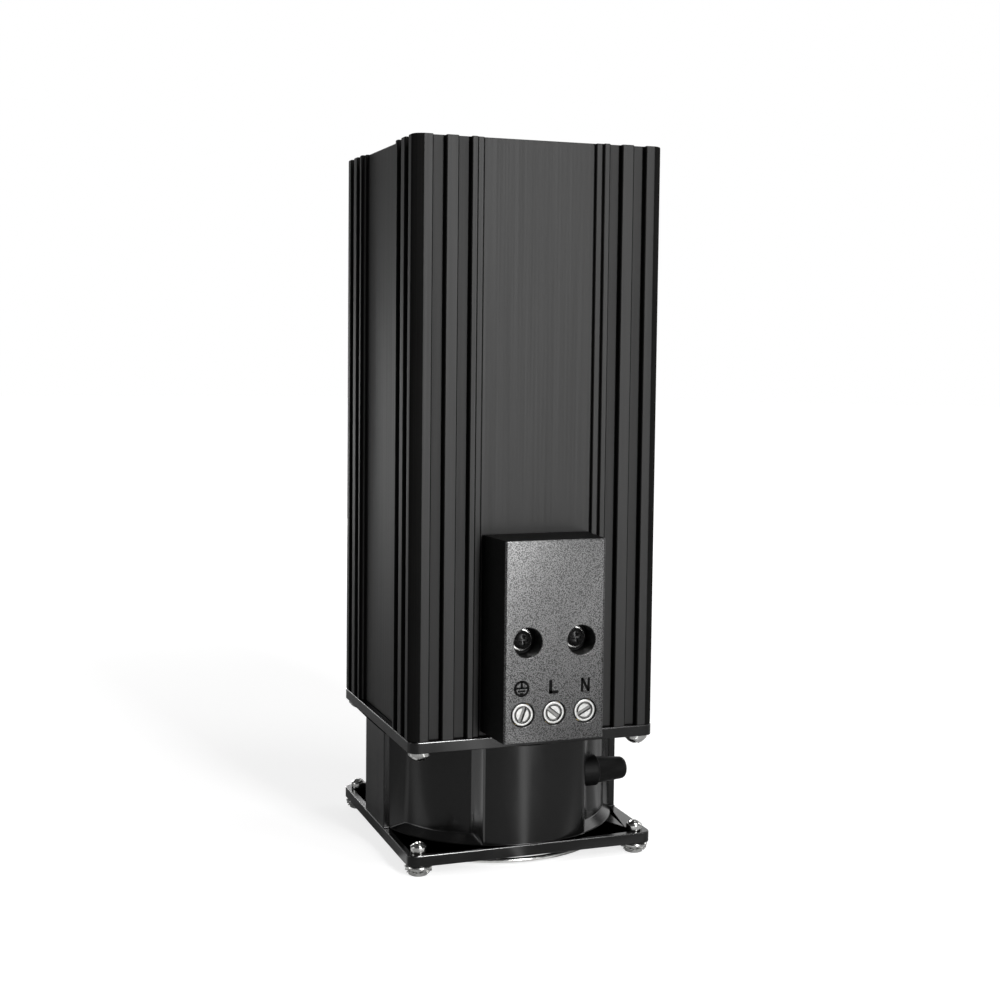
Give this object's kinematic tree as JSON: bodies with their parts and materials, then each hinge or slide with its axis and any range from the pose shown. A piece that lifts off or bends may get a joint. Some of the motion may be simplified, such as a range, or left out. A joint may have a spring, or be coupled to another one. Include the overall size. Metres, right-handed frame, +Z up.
{
  "type": "enclosure fan heater",
  "caption": "Compact fan heater for an electrical enclosure: ribbed black aluminium profile on an axial fan, with a terminal box in front and a rail clip behind.",
  "frame": {"origin": "on the fan's axis, in the plane of the guard nuts' lower faces that the heater stands on", "axes": "+Z up along the fan's axis and the profile, -Y to the front with the terminal box, +X to the lead sleeve"},
  "size_m": [0.08, 0.1071, 0.2214],
  "materials": {
    "anodised_profile": "satin black anodised, fine lines along the profile",
    "heating_stone": "fired, matt",
    "contact_metal": "bare sheet",
    "film": "amber insulating film",
    "silicone": "matt",
    "grained_plastic": "moulded with a leather-like grain",
    "switch_case": "moulded",
    "lead_insulation": "silicone insulation",
    "terminal_plating": "zinc plated",
    "black_screw": "black oxide",
    "bright_steel": "nickel plated",
    "guard_wire": "nickel plated wire",
    "clip_plastic": "moulded",
    "fan_plastic": "glossy moulding",
    "sleeve_rubber": "matt rubber",
    "lamination_steel": "stamped sheet",
    "copper_winding": "enamelled wire",
    "bearing_steel": "ground",
    "cap_plastic": "moulded"
  },
  "bodies": {
    "heater": {"heater_profile": "anodised_profile", "ptc_stones": "heating_stone", "contact_strip_live": "contact_metal", "contact_strip_neutral": "contact_metal", "terminal_cages": "contact_metal", "insulation_film": "film", "channel_seals": "silicone", "terminal_housing": "grained_plastic", "overheat_switch": "switch_case", "heater_leads": "lead_insulation", "terminal_screws": "terminal_plating", "cover_screws": "black_screw", "cover_washers": "bright_steel", "rail_clip_screws": "bright_steel", "fan_mount_screws": "bright_steel", "guard_screws": "bright_steel", "lock_washers": "bright_steel", "guard_nuts": "bright_steel", "finger_guard": "guard_wire", "rail_clip": "clip_plastic", "fan_frame": "fan_plastic", "lead_sleeve": "sleeve_rubber", "stator_core": "lamination_steel", "stator_coils": "copper_winding", "lower_bearing": "bearing_steel", "upper_bearing": "bearing_steel", "bearing_cap": "cap_plastic"},
    "rotor": {"impeller": "fan_plastic", "rotor_ring": "lamination_steel", "shaft": "bearing_steel", "retaining_ring": "bearing_steel"}
  },
  "joints": [
    {"name": "impeller_spin", "type": "hinge", "parent": "heater", "child": "rotor", "pos_m": [0, 0, 0.02], "axis": [0, 0, 1], "continuous": true}
  ]
}
